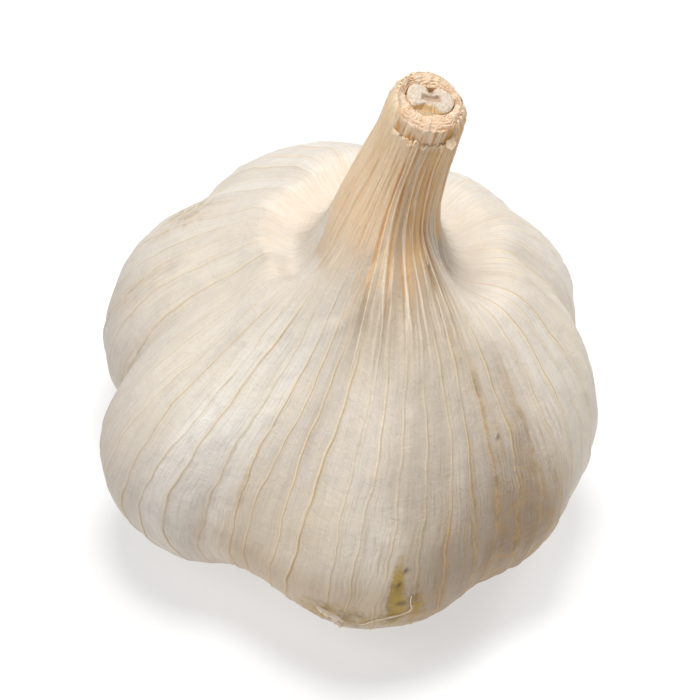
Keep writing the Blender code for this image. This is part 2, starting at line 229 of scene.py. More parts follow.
# Stains: direction, height, half width and half height in millimetres, strength.
OLIVE_STAINS = (
    (279, 17.6, 0.6, 3.4, 1.6),
    (279.6, 14.8, 0.9, 3, 1.4),
    (279.2, 12.6, 1.6, 2, 0.8),
    (283.2, 14, 1.1, 3, 0.85),
    (266.5, 12.4, 3.4, 2.2, 1),
    (262, 11, 2, 1.6, 0.6),
    (143.5, 30.4, 3, 3, 0.5),
    (292, 7, 12, 5, 0.45),
)
BROWN_STAINS = (
    (303.9, 35, 0.6, 3.4, 0.62),
    (299.4, 41, 0.7, 2.4, 0.4),
    (294, 38, 0.8, 3, 0.35),
    (305, 26, 1.2, 6, 0.8),
    (308, 16.5, 2, 9, 1),
    (313.4, 22, 1.2, 10, 0.95),
    (289, 17, 0.9, 9, 0.65),
    (296.6, 20, 1.2, 9, 0.7),
    (302, 12, 2, 6, 0.75),
    (283, 14.6, 1, 3.4, 1),
    (285.2, 13, 0.8, 2.6, 0.8),
    (319, 16, 1.4, 9, 0.9),
    (236.4, 22, 0.9, 8, 0.42),
    (229.5, 20, 0.8, 8, 0.28),
    (164, 27, 1.3, 5, 0.42),
    (176, 24, 1.2, 7, 0.32),
    (146, 33, 1.5, 2.5, 0.5),
    (261, 9, 1.5, 3, 0.8),
)

# Dark specks on the stained patch: direction, height, radius.
SPECKS = (
    (280.6, 21.3, 0.3),
    (279.4, 19.2, 0.42),
    (278.6, 17.2, 0.26),
    (280.3, 16.2, 0.36),
    (283.4, 19, 0.2),
    (308, 25.2, 0.22),
    (306.8, 31.6, 0.18),
)

# Cut top of the neck.
SHEATH_RADIUS = 3.7
SHEATH_COLUMNS = 360
SHEATH_LAYERS = 5.0
LAYER_WAVES = ((0.35, 2.6, 22, 12), (0.1, 0.8, 28, 12))
SHEATH_GRAIN = ((0.05, 0.33, 24, 28), (0.08, 1.2, 25, 12))
# Gaps in the sheaths' side, painted as shade only: direction, half width, height.
SHEATH_GAPS = ((222, 5, 66.0), (243, 3, 65.6), (251, 2, 65.4), (262, 1.5, 66.2), (305, 5, 67.0))
SOCKET_RADIUS = 4.0
SOCKET_FLOOR = 56.0
SKIN_RIM_RADIUS = 3.98  # inner side of the thin torn edge
RIM_TURN_IN = 0.5  # how far the untorn edge closes in over the cut
CUT_HEIGHT = 68.6
CORE_HALF_WIDTH = 2.65
CORE_HALF_DEPTH = 1.7
CORE_NOTCH = 0.34
CORE_NOTCH_HALF_DEG = 16
CORE_LOBES = ((140, 0.26, 22), (316, 0.16, 20), (38, 0.06, 18), (205, 0.06, 14))
CORE_COLUMNS = 220
CORE_GRAIN = ((0.035, 0.45, 41, 24), (0.04, 1.3, 42, 12))
CUT_BACK = (258, 24, 24)  # place of the leaf's cut-back front
CORE_FOOT = 60.6
CORE_GAP = 0.12
BORE_FLOOR = 60.3

# Root plate, below its top: radius, height. Rings of roots: radius, how many.
RECESS_RADIUS = 8.9
RECESS_ROOF = 3.3
PLATE = ((0.0, 0.35), (1.2, 0.25), (2.2, 0.05), (3.0, 0.0), (4.3, 0.0), (4.6, 0.5), (4.9, 1.4), (6.2, 1.5),
         (7.8, 1.55), (8.3, 1.9))
PLATE_COLUMNS = 96
ROOT_RINGS = ((5.3, 30), (6.1, 38), (6.9, 44), (7.7, 50))
ROOT_BASE = 2.2

# Loose flakes on the neck: direction, height, half width, length, how far the tip stands off.
FLAKES = (
    (306.5, 66.8, 0.72, -0.90, 0.80),
    (294, 65.5, 0.30, 0.8, 0.25),
    (247, 65.3, 0.45, 0.6, 0.55),
    (255, 65.6, 0.35, 0.55, 0.40),
    (238, 65.7, 0.35, 0.5, 0.45),
    (268, 65.4, 0.30, 0.5, 0.35),
)
FLAKE_THICKNESS = 0.05

FLAKE_FOOT_RADIUS = 4.5

# Loose strips lying on the bulb: half width, lift, then (direction, span of the profile) along each.
STRIPS = (
    (0.085, 0.16, ((273.2, 4.50), (275.5, 4.62), (278.0, 4.72), (280.6, 4.80), (282.0, 4.92),
                   (282.2, 5.25))),
    (0.55, 0.10, ((261.8, 4.74), (264.0, 4.70), (266.5, 4.66), (269.5, 4.52))),
    (0.30, 0.16, ((266.0, 4.46), (268.0, 4.34), (270.0, 4.22))),
)
STRIP_STEPS = 36

# Studio, in metres. Lights: name, place, size, watts.
AIM = Vector((0.0, 0.0, 0.025))
LIGHTS = (
    ("key", (0.0, 0.02, 0.9), 0.25, 5.7),
    ("fill", (-0.6, -0.2, 0.65), 0.5, 2.0),
    ("back", (0.45, 0.3, 0.7), 0.3, 2.6),
    ("front", (-0.1, -0.5, 0.75), 0.4, 0.9),
)
CAMERA_ELEVATION = 49.0
CAMERA_DISTANCE = 0.45
CAMERA_LENS = 196.7
FLOOR_HALF_SIZE = 3.0
FLOOR_GREY = (0.42, 0.42, 0.42)
FLOOR_GLOW = 0.55
WHITE = (1.0, 1.0, 1.0)
WORLD_STRENGTH = 0.06

# --- small functions


def smooth_step(t):
    t = np.clip(t, 0.0, 1.0)
    return t * t * (3.0 - 2.0 * t)


def slope(value, start, length):
    """0 at the start, rising smoothly to 1 a length further on."""
    return smooth_step((value - start) / length)


def degrees_between(direction, middle):
    return (direction - middle + 180.0) % 360.0 - 180.0


def window(value, middle, half, fade):
    """1 within half of the middle, fading smoothly to 0 over the next fade."""
    return 1.0 - slope(np.abs(value - middle), half, fade)


def around(direction, middle, half, fade):
    return window(degrees_between(direction, middle), 0.0, half, fade)


def bump(value, middle, width):
    return np.exp(-((value - middle) / width) ** 2)


def round_axis(direction, radius, *columns):
    """Points at a direction and a radius from the axis, with any further columns after x and y."""
    turn = np.radians(direction)
    return np.stack((radius * np.cos(turn), radius * np.sin(turn), *columns), axis=-1)


def ripple(points, wavelength, seed, waves=12):
    """Smooth noise of roughly one wavelength: plane waves in random directions."""
    draw = np.random.default_rng(seed)
    total = np.zeros(points.shape[:-1])
    for _ in range(waves):
        way = draw.normal(size=points.shape[-1])
        way *= 2 * math.pi / (np.linalg.norm(way) * wavelength * draw.uniform(0.7, 1.4))
        total += np.sin(points @ way + draw.uniform(0, 2 * math.pi))
    return total / math.sqrt(waves)


def ripples(points, rows):
    return sum(size * ripple(points, *wave) for size, *wave in rows)


def catmull_rom(points, s):
    """Columns of the curve through the points at span positions s."""
    points = np.array(points, dtype=float)
    padded = np.vstack((2 * points[0] - points[1], points, 2 * points[-1] - points[-2]))
    tangents = (padded[2:] - padded[:-2]) / 2.0
    span = np.clip(np.floor(s).astype(int), 0, len(points) - 2)
    t = (s - span)[..., None]
    return (
        points[span] * (2 * t ** 3 - 3 * t ** 2 + 1)
        + tangents[span] * (t ** 3 - 2 * t ** 2 + t)
        + points[span + 1] * (3 * t ** 2 - 2 * t ** 3)
        + tangents[span + 1] * (t ** 3 - t ** 2)
    )


# --- the skin's surface


def lobe_scale(direction):
    """Radius of the lobed outline against LOBE_MEAN: a soft union of circles."""
    reaches = []
    for middle, reach, end in LOBES:
        turn = np.radians(degrees_between(direction, middle))
        centre = reach - end
        inside = end ** 2 - (centre * np.sin(turn)) ** 2
        seen = (inside > 0.0) & (np.cos(turn) > -0.2)
        far = centre * np.cos(turn) + np.sqrt(np.maximum(inside, 0.0))
        reaches.append(np.where(seen, far, 0.0))
    reaches = np.array(reaches)
    largest = reaches.max(axis=0)
    blended = np.exp((reaches - largest) / LOBE_BLEND).sum(axis=0)
    return (largest + LOBE_BLEND * np.log(blended)) / LOBE_MEAN


def shoulder_height(direction, radius, height):
    """How far the hollow and its lip move a point of the skin up or down."""
    along = direction % 360.0
    outer = HOLLOW_OUTER - HOLLOW_PINCH * slope(along, *HOLLOW_NARROWS) * (along < HOLLOW_FRONT)
    side = np.where(radius > HOLLOW_RADIUS, outer, HOLLOW_INNER)
    lip_side = np.where(radius > RIM_RADIUS, RIM_OUTER, RIM_INNER)
    change = RIM_HEIGHT * around(direction, *RIM_PLACE) * bump(radius, RIM_RADIUS, lip_side)
    change -= HOLLOW_DEPTH * around(direction, *HOLLOW_PLACE) * bump(radius, HOLLOW_RADIUS, side)
    return change * (1.0 - slope(height, *HOLLOW_ENDS)) * slope(height, *HOLLOW_STARTS)


def waist_scale(direction, height):
    return 1.0 - WAIST * around(direction, *WAIST_PLACE) * bump(height, WAIST_HEIGHT, WAIST_WIDTH)


def bare_side(direction):
    """1 where the outer skin is torn down, 0 where it still reaches the cut."""
    return around(direction, *TEAR_PLACE)


def torn_height(direction, height):
    """Height of a point on the neck once the skin's top edge is torn down in front."""
    bare = bare_side(direction)
    jag = ripples(round_axis(direction, SOCKET_RADIUS), TEAR_JAGS) * (UNTORN_JAGS + (1 - UNTORN_JAGS) * bare)
    tear = TEAR_DEPTH * bare - PEAK_HEIGHT * around(direction, *PEAK)
    return height - slope(height, TEAR_FOOT, SKIN_TOP - TEAR_FOOT) * (tear + EDGE_DROP + jag)


def set_on_neck(direction, radius, z):
    """Points of the upright bulb, shifted off centre with height, then leant over with the neck."""
    turn = np.radians(direction)
    x = radius * np.cos(turn) + NECK_OFFSET * slope(z, *NECK_OFFSET_RISE)
    y = radius * np.sin(turn)
    lean = math.radians(LEAN_DIRECTION)
    along = (x - NECK_OFFSET) * math.cos(lean) + y * math.sin(lean)
    rate = math.radians(LEAN_DEG) / BEND_LENGTH
    turned_by = rate * np.clip(z - BEND_START, 0.0, BEND_LENGTH)
    straight = np.maximum(z - BEND_START - BEND_LENGTH, 0.0)
    forward = (1 - np.cos(turned_by)) / rate + straight * np.sin(turned_by)
    rise = np.sin(turned_by) / rate + straight * np.cos(turned_by)
    shift = forward + along * (np.cos(turned_by) - 1)
    low = np.minimum(z, BEND_START)
    return np.stack((
        x + shift * math.cos(lean),
        y + shift * math.sin(lean),
        low + rise - along * np.sin(turned_by),
    ), axis=-1)


class Veins:
    """Fixed irregularities of the veins and of the panels between them."""

    def __init__(self, seed):
        draw = np.random.default_rng(seed)
        self.offset = draw.uniform(-0.17, 0.17, VEINS)
        self.height = draw.uniform(0.35, 1.0, VEINS)
        self.pleat = draw.uniform(0.15, 1.0, VEINS) ** 1.4
        self.phase = draw.uniform(0, 2 * math.pi, (4, VEINS))
        self.panel = draw.uniform(-1.0, 1.0, (2, VEINS))[0]
        self.panel_phase = draw.uniform(0, 2 * math.pi, VEINS)

    def blended(self, of_vein, u):
        """What of_vein gives for each vein, carried smoothly from one to the next."""
        vein = np.floor(u).astype(int)
        t = u - vein - 0.5
        other = (vein + np.sign(t).astype(int)) % VEINS
        return of_vein(vein % VEINS) * (1 - np.abs(t)) + of_vein(other) * np.abs(t)

    def direction(self, u, height):
        """Direction in degrees of u, with veins out of step and wandering with height."""
        on_bulb = 1.0 - slope(height, *WANDER_END)

        def step(vein):
            waves = zip(VEIN_WANDER, self.phase)
            wander = sum(size * np.sin(height / length + phase[vein]) for (size, length), phase in waves)
            return self.offset[vein] + wander * on_bulb

        return (u + self.blended(step, u)) * 360.0 / VEINS + VEIN_TURN


VEIN_DRAW = Veins(7)


def on_the_neck(direction, radius, height):
    """1 on the neck's tan skin, 0 on the bulb, with a short change at the sides and a long one in front."""
    reach = NECK_FOOT + 0.5 * ripple(round_axis(direction, 8.0), 1.1, 64) * around(direction, *FOOT_BACK)
    reach += sum(further * around(direction, *place) for further, place in FOOT_REACH)
    change = 0.8 + sum(longer * around(direction, *place) for longer, place in FOOT_CHANGE)
    return smooth_step((reach + 0.1 * change - radius) / change) * slope(height, *SHOULDER)


def neck_folds(direction, height):
    """Depth of the neck's folds and height of the thin lip beside each.

    They are few and shallow on the left, and deep in front and at the right.
    """
    draw = np.random.default_rng(61)
    wander = 1.6 * ripple(round_axis(direction, 2.0, height * 0.12), 2.2, 62)
    lower = FRONT_DROP * around(direction, *FRONT)
    narrowed = np.clip((height - 40.0) / 12.0, 0.3, 1.0)
    depth = np.zeros(direction.shape)
    lips = np.zeros(direction.shape)
    for fold in range(FOLDS):
        middle = (fold + draw.uniform(-0.33, 0.33)) * 360.0 / FOLDS
        deepest = draw.uniform(*FOLD_DEPTH)
        half = draw.uniform(*FOLD_HALF_DEG)
        start = draw.uniform(*FOLD_START)
        side = 1.7 * draw.choice((-1, 1)) * half
        away = degrees_between(direction + wander, middle) / narrowed
        here = slope(height, start - lower, 6.0) * (1 - 0.3 * np.sin(0.7 * height + fold))
        depth = np.maximum(depth, deepest * bump(away, 0.0, half) * here)
        lips = np.maximum(lips, deepest * bump(away, side, 0.45 * half) * here)
    calm = 1.0 - 0.72 * around(direction, 205, 30, 22)
    shallow = 1.0 - 0.35 * slope(height, 62.0, 3.0)
    return depth * calm * shallow, lips * calm


def skin_relief(u, direction, radius, height):
    """Raised veins, panels and low waves, in millimetres outward."""
    vein = np.floor(u).astype(int) % VEINS
    from_vein = np.abs(u - np.floor(u) - 0.5)
    spacing = 2 * math.pi * radius / VEINS
    neck = on_the_neck(direction, radius, height)
    bulb = 1.0 - neck
    space = round_axis(direction, radius, height)
    quiet = 1.0 - 0.6 * around(direction, 120, 70, 40) * slope(height, 30.0, 8.0)
    strength = VEIN_HEIGHT * VEIN_DRAW.height[vein] * bulb + PLEAT_HEIGHT * VEIN_DRAW.pleat[vein] * neck
    ridge = bump(from_vein * spacing, 0.0, np.minimum(VEIN_WIDTH, 0.2 * spacing))
    relief = ridge * strength * quiet * (1 + 0.35 * ripple(space, 7.0, 3))

    panel = np.floor(u + 0.5).astype(int) % VEINS
    sag = (VEIN_DRAW.panel[panel] + np.sin(height / PANEL_WAVE + VEIN_DRAW.panel_phase[panel])) / 2
    relief += PANEL_SAG * np.sin(math.pi * from_vein) ** 2 * sag * bulb
    relief += ripples(space * np.array(SKIN_STRETCH), SKIN_WAVES) * bulb

    fine = ripples(round_axis(direction, 5.0, height * 0.05), NECK_FIBRES)
    pleated = slope(height, 43.0 - FRONT_DROP * around(direction, *FRONT), 5.0)
    depth, lips = neck_folds(direction, height)
    return relief * slope(height, 1.0, 5.0) + (fine - depth + LIP_SHARE * lips) * pleated


def fold_path(direction, radius):
    """Degrees from the long fold that runs down from the left of the neck's foot."""
    return degrees_between(direction, 243.2 + 2.0 * (13.7 - radius) + 0.6 * np.sin(radius * 1.1))


def slit_depth(direction, radius):
    """Narrow open slit in the folds at the right of the neck's foot."""
    return bump(degrees_between(direction, SLIT_DIRECTION), 0.0, 1.0) * window(radius, *SLIT)


def skin_creases(direction, radius, height):
    path = fold_path(direction, radius)
    fold = 0.32 * np.tanh(path / 1.2) * bump(path, 0.0, 9.0) - 0.28 * bump(path, 0.3, 0.9)
    crease = window(radius, *LONG_FOLD) * fold - 0.8 * slit_depth(direction, radius)
    return crease * slope(height, 40.0, 3.0)


def skin_points(u, s, lift=0.0):
    """Points of the skin, with their direction and their height on the profile."""
    radius, height, share = np.moveaxis(catmull_rom(SKIN, s), -1, 0)
    direction = VEIN_DRAW.direction(u, height)
    relief = skin_relief(u, direction, radius, height) + skin_creases(direction, radius, height)
    top = window(s, SKIN_SPANS, 0.0, 0.14)
    curl = np.maximum(ripple(round_axis(direction, 5.0), 1.1, 33) + 0.15, 0.0)
    edge = (0.06 - 0.20 * curl * around(direction, *CURL_PLACE)) * top + 0.1 * window(s, 0.0, 0.0, 0.6)
    edge += RIM_TURN_IN * (1 - bare_side(direction)) * window(s, SKIN_SPANS, 0.0, 0.2)
    lobed = 1 + share * (lobe_scale(direction) - 1)
    shaped = radius * waist_scale(direction, height) * lobed + relief - edge + lift
    upright = torn_height(direction, height + shoulder_height(direction, radius, height))
    return set_on_neck(direction, shaped, upright), direction, height


# --- mesh helpers


def mesh_of(body, name):
    """Mesh of a finished bmesh, with its faces turned outward."""
    bmesh.ops.recalc_face_normals(body, faces=body.faces)
    mesh = bpy.data.meshes.new(name)
    body.to_mesh(mesh)
    body.free()
    return mesh


def added(name, data):
    """New object with the data, linked to the scene."""
    made = bpy.data.objects.new(name, data)
    bpy.context.scene.collection.objects.link(made)
    return made


def read(items, name, width=1, kind=float):
    """Values of one property of all the items, each of them width long."""
    values = np.empty(len(items) * width, dtype=kind)
    items.foreach_get(name, values)
    return values


def taken(mesh, name):
    """Whole numbers of a helper attribute, which is then removed."""
    values = read(mesh.attributes[name].data, "value")
    mesh.attributes.remove(mesh.attributes[name])
    return np.rint(values).astype(int)


def turned(name, profile, steps):
    """Mesh turned about Z from (radius, height) rows, with each point's position, row and column."""
    body = bmesh.new()
    rows = len(profile) - 1
    bmesh.ops.create_grid(body, x_segments=steps, y_segments=rows, size=0.5)
    row_layer = body.verts.layers.float.new("row")
    column_layer = body.verts.layers.float.new("column")
    seam = []
    for vert in body.verts:
        column = round((vert.co.x + 0.5) * steps)
        row = round((vert.co.y + 0.5) * rows)
        radius, height = profile[row]
        turn = 2 * math.pi * column / steps
        vert.co = (radius * math.cos(turn), radius * math.sin(turn), height)
        vert[row_layer] = row
        vert[column_layer] = column % steps
        if column % steps == 0 or radius == 0.0:
            seam.append(vert)
    bmesh.ops.remove_doubles(body, verts=seam, dist=1e-4)
    mesh = mesh_of(body, name)
    points = read(mesh.vertices, "co", 3).reshape(-1, 3)
    return mesh, points, taken(mesh, "row"), taken(mesh, "column")


def place_points(mesh, points):
    """Set the mesh's points, given in millimetres."""
    mesh.vertices.foreach_set("co", (points * MM).ravel())
    mesh.update()


def add_values(mesh, name, values):
    layer = mesh.attributes.new(name, "FLOAT", "POINT")
    layer.data.foreach_set("value", np.asarray(values, dtype=np.float32))


def add_uv(mesh, name, across, along):
    """UV map from per-point values; across runs 0 to 1 round the piece and closes there."""
    corner_vert = read(mesh.loops, "vertex_index", kind=int)
    totals = read(mesh.polygons, "loop_total", kind=int)
    face = np.repeat(np.arange(len(totals)), totals)
    u = across[corner_vert]
    highest = np.zeros(len(totals))
    np.maximum.at(highest, face, u)
    u = np.where((highest[face] > 0.75) & (u < 0.25), u + 1.0, u)
    layer = mesh.uv_layers.new(name=name)
    layer.data.foreach_set("uv", np.stack((u, along[corner_vert]), axis=-1).ravel())


def add_piece(name, mesh, material, slot, *nodes):
    """Link a finished mesh as a piece that rides on the bulb and replaces the nodes."""
    mesh.polygons.foreach_set("use_smooth", np.ones(len(mesh.polygons), dtype=bool))
    mesh.materials.append(material)
    piece = added(name, mesh)
    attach(piece, BODY)
    if nodes:
        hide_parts(*nodes)


# --- materials


class Shader:
    """Node tree of one material, built one socket at a time."""

    def __init__(self, name, roughness, subsurface=0.0):
        self.material = bpy.data.materials.new(name)
        self.material.use_nodes = True
        self.tree = self.material.node_tree
        self.surface = self.tree.nodes["Principled BSDF"]
        self.surfaced(
            ("Roughness", roughness), ("Specular IOR Level", 0.35), ("Subsurface Weight", subsurface),
            ("Subsurface Radius", (1.0, 0.75, 0.55)), ("Subsurface Scale", 0.0012),
        )

    def fill(self, node, values):
        """Give each socket its value, or a link where the value is a socket. Colours are red, green, blue."""
        for name, value in values:
            socket = node.inputs[name]
            if isinstance(value, bpy.types.NodeSocket):
                self.tree.links.new(value, socket)
            else:
                socket.default_value = (*value, 1.0) if socket.type == "RGBA" else value

    def surfaced(self, *values):
        """The material, once its surface has these values too."""
        self.fill(self.surface, values)
        return self.material

    def node(self, kind, values=(), **settings):
        made = self.tree.nodes.new(kind)
        for key, value in settings.items():
            setattr(made, key, value)
        self.fill(made, values)
        return made

    def maths(self, operation, *values):
        return self.node("ShaderNodeMath", enumerate(values), operation=operation).outputs[0]

    def times(self, *values):
        return self.maths("MULTIPLY", *values)

    def away(self, value, middle):
        """Distance of the value from the middle."""
        return self.maths("ABSOLUTE", self.maths("SUBTRACT", value, middle))

    def ramp(self, value, low, high, bottom=0.0, top=1.0):
        """Smooth rise from bottom at low to top at high."""
        values = ((0, value), (1, low), (2, high), (3, bottom), (4, top))
        return self.node("ShaderNodeMapRange", values, interpolation_type="SMOOTHSTEP").outputs[0]

    def vector(self, x, y):
        return self.node("ShaderNodeCombineXYZ", ((0, x), (1, y))).outputs[0]

    def noise(self, vector, scale, detail=2.0, roughness=0.5):
        values = (("Vector", vector), ("Scale", scale), ("Detail", detail), ("Roughness", roughness))
        return self.node("ShaderNodeTexNoise", values).outputs["Fac"]

    def strands(self, u, v, across, along, detail=2.0, roughness=0.5):
        """Noise drawn out along the skin, from its scales across and along it."""
        return self.noise(self.vector(self.times(u, across), self.times(v, along)), 1.0, detail, roughness)

    def chance(self, number):
        """Value from 0 to 1 that belongs to a whole number."""
        return self.node("ShaderNodeTexWhiteNoise", (("W", number),), noise_dimensions="1D").outputs["Value"]

    def mix(self, factor, first, second, blend="MIX"):
        values = ((0, factor), (6, first), (7, second))
        return self.node("ShaderNodeMix", values, data_type="RGBA", blend_type=blend).outputs[2]

    def layered(self, base, *layers):
        """Colours laid over the base in turn: how much of each, the colour, and any blend."""
        for factor, colour, *blend in layers:
            base = self.mix(factor, base, colour, *blend)
        return base

    def attribute(self, name, strength=1.0):
        value = self.node("ShaderNodeAttribute", attribute_name=name).outputs["Fac"]
        return value if strength == 1.0 else self.times(value, strength)

    def uv(self, name):
        made = self.node("ShaderNodeUVMap", uv_map=name)
        parts = self.node("ShaderNodeSeparateXYZ", ((0, made.outputs[0]),))
        return parts.outputs[0], parts.outputs[1]

    def position(self):
        return self.node("ShaderNodeTexCoord").outputs["Object"]

    def relief(self, height, distance, strength=1.0, under=None):
        """Bump of the given height in metres, over any relief already made."""
        values = [("Height", height), ("Distance", distance), ("Strength", strength)]
        if under is not None:
            values.append(("Normal", under))
        return self.node("ShaderNodeBump", values).outputs[0]


def panel_colour(sh, streaks, fibres, blotches, mottle, u):
    """Panels between the veins, each a little different."""
    chance = sh.chance(sh.maths("FLOOR", sh.maths("ADD", u, 0.5)))
    # painted light and shade with the panels' own tone, a random tone for each panel, and streaks
    shade = sh.maths("ADD", sh.attribute("tone_and_shade"), sh.times(sh.maths("SUBTRACT", chance, 0.5), 0.24))
    shade = sh.maths("ADD", shade, sh.times(sh.maths("SUBTRACT", streaks, 0.5), 0.5))
    # fibres darker low at the front right and round the bottom
    darkened = sh.ramp(sh.attribute("low_darkening"), 0.0, 1.0, 0.3, 0.7)
    return sh.layered(
        sh.mix(sh.ramp(shade, 0.0, 0.5), (0.60, 0.52, 0.435), (0.775, 0.695, 0.595)),
        (sh.ramp(shade, 0.45, 1.0), (0.93, 0.875, 0.80)),
        (sh.ramp(blotches, 0.45, 0.65, 0.0, 0.4), (0.85, 0.755, 0.60)),
        (sh.ramp(mottle, 0.45, 0.7, 0.0, 0.4), (0.70, 0.64, 0.58)),
        (sh.times(sh.ramp(fibres, 0.42, 0.72), darkened), (0.56, 0.46, 0.34)),
    )


def veined_colour(sh, panel, u, v, offset):
    """Pale crest on each vein, a tan line of painted shadow beside it on one side, and a faint halo round
    both.
    """
    vein = sh.maths("FLOOR", u)
    along_vein = sh.strands(vein, v, 3.7, 0.16)
    luck = sh.ramp(sh.chance(vein), 0.0, 0.7, 0.4, 1.0)
    presence = sh.times(sh.times(luck, sh.ramp(along_vein, 0.3, 0.6, 0.45, 1.0)), sh.attribute("veined"))
    distance = sh.maths("ABSOLUTE", offset)
    halo = sh.times(sh.ramp(distance, 0.1, 0.7, 1.0, 0.0), presence)
    # painted shadow: a tan line along one side of each vein
    line = sh.times(sh.ramp(sh.away(offset, 0.19), 0.02, 0.15, 1.0, 0.0), presence)
    crest = sh.times(sh.ramp(distance, 0.03, 0.14, 1.0, 0.0), presence)
    return sh.layered(
        panel,
        (sh.times(halo, 0.22), (0.76, 0.62, 0.42)),
        (sh.times(line, 0.75), (0.56, 0.39, 0.20)),
        (sh.times(crest, 0.75), (0.95, 0.82, 0.58)),
    )


def neck_colour(sh, skin, u, v, streaks, fibres):
    """Skin below the neck in front, the neck's tan threads fanning out with painted shade below the neck, and
    the neck: tan, with warm painted shade in the folds, at its front foot and down its right side.
    """
    ribs = sh.strands(u, v, 1.7, 0.05, 2.0, 0.6)
    threads = sh.ramp(sh.strands(u, v, 4.5, 0.07, 2.0, 0.6), 0.36, 0.64)
    # warm painted shade in the folds, the slit and the long crease
    fold = sh.attribute("fold")
    lip = sh.ramp(sh.attribute("lip"), 0.1, 0.6, 0.0, 0.75)
    foot = sh.attribute("foot")
    # the neck's tan threads fanning out in front, with painted shade: darker toward the neck, at its front
    # foot and in the folds
    fan = sh.layered(
        sh.mix(threads, (0.68, 0.56, 0.42), (0.45, 0.345, 0.235)),
        (sh.times(foot, 0.8), (0.40, 0.29, 0.19)),
        (sh.ramp(fold, 0.05, 0.7, 0.0, 0.75), (0.42, 0.29, 0.17)),
        (sh.ramp(ribs, 0.60, 0.68, 0.0, 0.6), (0.86, 0.77, 0.63)),
        (lip, (0.92, 0.83, 0.69)),
    )
    tan = sh.layered(
        sh.mix(threads, (1.0, 0.79, 0.54), (0.96, 0.64, 0.36)),
        (sh.ramp(streaks, 0.4, 0.65, 0.0, 0.45), (0.98, 0.77, 0.55)),
        (sh.ramp(fibres, 0.48, 0.70, 0.0, 0.4), (0.84, 0.53, 0.28)),
        (sh.attribute("pale_foot"),
         sh.mix(sh.ramp(fibres, 0.35, 0.65), (0.77, 0.635, 0.49), (0.67, 0.525, 0.38))),
        # painted shade at the neck's front foot
        (sh.times(foot, 0.75), (0.55, 0.385, 0.24)),
        # warm painted shade down the neck's right side
        (sh.attribute("right"), (0.92, 0.57, 0.25)),
        (sh.ramp(ribs, 0.58, 0.66, 0.0, 0.6), (1.0, 0.83, 0.63)),
        (sh.ramp(ribs, 0.42, 0.34, 0.0, 0.45), (0.80, 0.46, 0.21)),
        # warm painted shade in the folds
        (sh.ramp(fold, 0.05, 0.8, 0.0, 0.7), (0.88, 0.55, 0.27)),
        (lip, (1.0, 0.83, 0.62)),
        (sh.attribute("edge", 0.8), (0.97, 0.79, 0.58)),
    )
    return sh.layered(skin, (sh.attribute("fan", 0.85), fan), (sh.attribute("neck"), tan))


def stained_colour(sh, skin, fibres, mottle, offset):
    """Painted shade, brownish and grey, low down and round the underside; brown along the veins where it is
    stained, and olive patches with dark specks.
    """
    cloud = sh.noise(sh.position(), 700.0, 4.0, 0.65)
    brown = sh.attribute("brown")
    olive = sh.attribute("olive")
    streaky = sh.ramp(sh.maths("ADD", fibres, sh.times(cloud, 0.5)), 0.62, 0.88, 0.0, 0.7)
    follows = sh.ramp(sh.away(offset, 0.22), 0.08, 0.6, 1.0, 0.0)
    follows = sh.times(follows, sh.ramp(cloud, 0.36, 0.58, 0.35, 1.0))
    streaked = sh.times(brown, sh.maths("MAXIMUM", streaky, follows))
    rough_edge = sh.times(sh.maths("SUBTRACT", cloud, 0.5), 2.4)
    patched = sh.times(sh.ramp(sh.maths("ADD", olive, rough_edge), 0.1, 1.4), sh.ramp(olive, 0.0, 0.6))
    grains = sh.ramp(sh.noise(sh.position(), 1500.0, 3.0, 0.7), 0.62, 0.72, 0.0, 0.4)
    return sh.layered(
        skin,
        # painted shade, brownish
        (sh.attribute("painted_brown_shade", 0.9), (0.74, 0.60, 0.44), "MULTIPLY"),
        # painted shade, grey
        (sh.attribute("painted_grey_shade"), (0.81, 0.79, 0.78), "MULTIPLY"),
        (sh.ramp(brown, 0.0, 1.2, 0.0, 0.3), (0.66, 0.52, 0.35), "MULTIPLY"),
        (sh.ramp(streaked, 0.0, 1.0, 0.0, 0.85),
         sh.mix(sh.ramp(mottle, 0.4, 0.65), (0.56, 0.34, 0.13), (0.36, 0.22, 0.10))),
        (sh.times(patched, 0.88),
         sh.mix(sh.ramp(mottle, 0.4, 0.62), (0.46, 0.29, 0.02), (0.27, 0.16, 0.035))),
        (sh.attribute("speck", 0.85), (0.07, 0.035, 0.015)),
        # dark grains where the skin darkens low down
        (sh.times(grains, sh.attribute("low_darkening")), (0.34, 0.22, 0.12)),
    )


